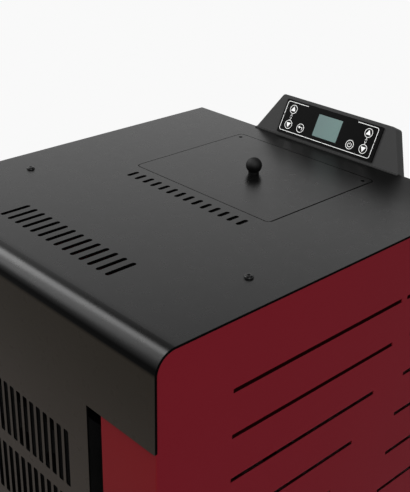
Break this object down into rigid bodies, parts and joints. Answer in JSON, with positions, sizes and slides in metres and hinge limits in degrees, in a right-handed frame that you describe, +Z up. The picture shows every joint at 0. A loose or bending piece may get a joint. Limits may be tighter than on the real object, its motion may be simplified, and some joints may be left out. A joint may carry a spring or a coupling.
{
  "type": "pellet stove",
  "caption": "Free-standing pellet stove: bent sheet top with air slots, flush hopper lid with ball knob, sloping keypad console, grille front, fire door, ash drawer and louvred sides",
  "frame": {"origin": "on the floor, under the middle of the whole stove with its handle and flue spigot", "axes": "+Z up, -Y the front with the grille and the fire door, +X to the stove's right as seen from the front"},
  "size_m": [0.5, 0.6054, 0.9823],
  "materials": {
    "black_satin": "satin black stove enamel",
    "red_enamel": "semi-gloss dark red enamel",
    "galvanised": "plain galvanised sheet",
    "bright_steel": "turned steel",
    "dark_iron": "raw grey iron",
    "vermiculite": "pressed refractory board",
    "knob_black": "moulded black",
    "black_plastic": "moulded black",
    "keypad_black": "printed foil",
    "lcd_green": "grey-green display",
    "green_board": "lacquered circuit board",
    "seal_rope": "woven glass rope",
    "stove_glass": "heat-proof glass ceramic",
    "motor_aluminium": "die-cast",
    "bronze": "sintered bronze",
    "rubber_black": "moulded",
    "ceramic_white": "glazed ceramic"
  },
  "bodies": {
    "casing": {"air_intake_pipe": "galvanised", "auger_bushes": "bronze", "auger_gearmotor": "motor_aluminium", "auger_tube": "galvanised", "baffle": "vermiculite", "base_plate": "black_satin", "blower_housing": "galvanised", "blower_motor": "bright_steel", "casing_screws": "bright_steel", "console_back": "black_satin", "console_shell": "black_satin", "control_board": "green_board", "display_board": "green_board", "display_window": "lcd_green", "door_hinge_pins": "bright_steel", "fire_back_plate": "dark_iron", "firebox": "black_satin", "flue_spigot": "motor_aluminium", "frame_left": "black_satin", "frame_right": "black_satin", "heat_exchanger": "black_satin", "hopper": "black_satin", "igniter": "ceramic_white", "keypad_plate": "keypad_black", "lid_hinge_rod": "bright_steel", "lid_seal": "seal_rope", "pot_cradle": "dark_iron", "power_inlet": "black_plastic", "pressure_switch": "black_plastic", "rear_panel": "galvanised", "side_panel_left": "red_enamel", "side_panel_right": "red_enamel", "smoke_duct": "galvanised", "smoke_fan_housing": "motor_aluminium", "smoke_fan_motor": "motor_aluminium", "top_cover": "black_satin", "top_screws": "black_satin"},
    "lid": {"hopper_lid": "black_satin", "lid_knob": "knob_black"},
    "auger_screw": {"auger_screw": "bright_steel"},
    "burn_pot": {"burn_pot": "dark_iron"},
    "fire_door": {"fire_door": "black_satin", "door_glass": "stove_glass", "glass_clips": "bright_steel", "door_seal": "seal_rope"},
    "door_handle": {"door_handle": "bright_steel"},
    "ash_drawer": {"ash_drawer": "black_satin"},
    "smoke_impeller": {"smoke_impeller": "bright_steel"},
    "blower_drum": {"blower_drum": "motor_aluminium"},
    "power_switch": {"power_switch": "black_plastic"},
    "key_left_up": {"key_left_up": "keypad_black"},
    "key_left_down": {"key_left_down": "keypad_black"},
    "key_escape": {"key_escape": "keypad_black"},
    "key_power": {"key_power": "keypad_black"},
    "key_right_up": {"key_right_up": "keypad_black"},
    "key_right_down": {"key_right_down": "keypad_black"},
    "foot_front_left": {"foot_front_left": "rubber_black"},
    "foot_front_right": {"foot_front_right": "rubber_black"},
    "foot_rear_left": {"foot_rear_left": "rubber_black"},
    "foot_rear_right": {"foot_rear_right": "rubber_black"}
  },
  "joints": [
    {"name": "lid_hinge", "type": "hinge", "parent": "casing", "child": "lid", "pos_m": [0, 0.20145, 0.9245], "axis": [-1, 0, 0], "range_deg": [0, 85]},
    {"name": "fire_door_hinge", "type": "hinge", "parent": "casing", "child": "fire_door", "pos_m": [-0.1502, -0.25875, 0.381], "axis": [0, 0, -1], "range_deg": [0, 105]},
    {"name": "handle_turn", "type": "hinge", "parent": "fire_door", "child": "door_handle", "pos_m": [0.122, -0.26475, 0.4], "axis": [0, 1, 0], "range_deg": [0, 80]},
    {"name": "ash_drawer_slide", "type": "slide", "parent": "casing", "child": "ash_drawer", "axis": [0, -1, 0], "range_m": [0, 0.16]},
    {"name": "burn_pot_lift", "type": "slide", "parent": "casing", "child": "burn_pot", "axis": [0, 0, 1], "range_m": [0, 0.08]},
    {"name": "auger_turn", "type": "hinge", "parent": "casing", "child": "auger_screw", "pos_m": [0, 0.14875, 0.4], "axis": [0, -0.5, 0.866], "continuous": true},
    {"name": "smoke_fan_turn", "type": "hinge", "parent": "casing", "child": "smoke_impeller", "pos_m": [-0.149, 0.076, 0.168], "axis": [1, 0, 0], "continuous": true},
    {"name": "blower_turn", "type": "hinge", "parent": "casing", "child": "blower_drum", "pos_m": [0.099, 0.17925, 0.087], "axis": [1, 0, 0], "continuous": true},
    {"name": "power_rocker", "type": "hinge", "parent": "casing", "child": "power_switch", "pos_m": [0.19, 0.24875, 0.316], "axis": [-1, 0, 0], "range_deg": [0, 16]},
    {"name": "foot_front_left_thread", "type": "slide", "parent": "casing", "child": "foot_front_left", "axis": [0, 0, 1], "range_m": [-0.015, 0]},
    {"name": "foot_front_right_thread", "type": "slide", "parent": "casing", "child": "foot_front_right", "axis": [0, 0, 1], "range_m": [-0.015, 0]},
    {"name": "foot_rear_left_thread", "type": "slide", "parent": "casing", "child": "foot_rear_left", "axis": [0, 0, 1], "range_m": [-0.015, 0]},
    {"name": "foot_rear_right_thread", "type": "slide", "parent": "casing", "child": "foot_rear_right", "axis": [0, 0, 1], "range_m": [-0.015, 0]},
    {"name": "key_left_up_press", "type": "slide", "parent": "casing", "child": "key_left_up", "axis": [0, 0.8949, -0.4462], "range_m": [0, 0.0005], "stiffness_N_per_m": 600},
    {"name": "key_left_down_press", "type": "slide", "parent": "casing", "child": "key_left_down", "axis": [0, 0.8949, -0.4462], "range_m": [0, 0.0005], "stiffness_N_per_m": 600},
    {"name": "key_escape_press", "type": "slide", "parent": "casing", "child": "key_escape", "axis": [0, 0.8949, -0.4462], "range_m": [0, 0.0005], "stiffness_N_per_m": 600},
    {"name": "key_power_press", "type": "slide", "parent": "casing", "child": "key_power", "axis": [0, 0.8949, -0.4462], "range_m": [0, 0.0005], "stiffness_N_per_m": 600},
    {"name": "key_right_up_press", "type": "slide", "parent": "casing", "child": "key_right_up", "axis": [0, 0.8949, -0.4462], "range_m": [0, 0.0005], "stiffness_N_per_m": 600},
    {"name": "key_right_down_press", "type": "slide", "parent": "casing", "child": "key_right_down", "axis": [0, 0.8949, -0.4462], "range_m": [0, 0.0005], "stiffness_N_per_m": 600}
  ]
}
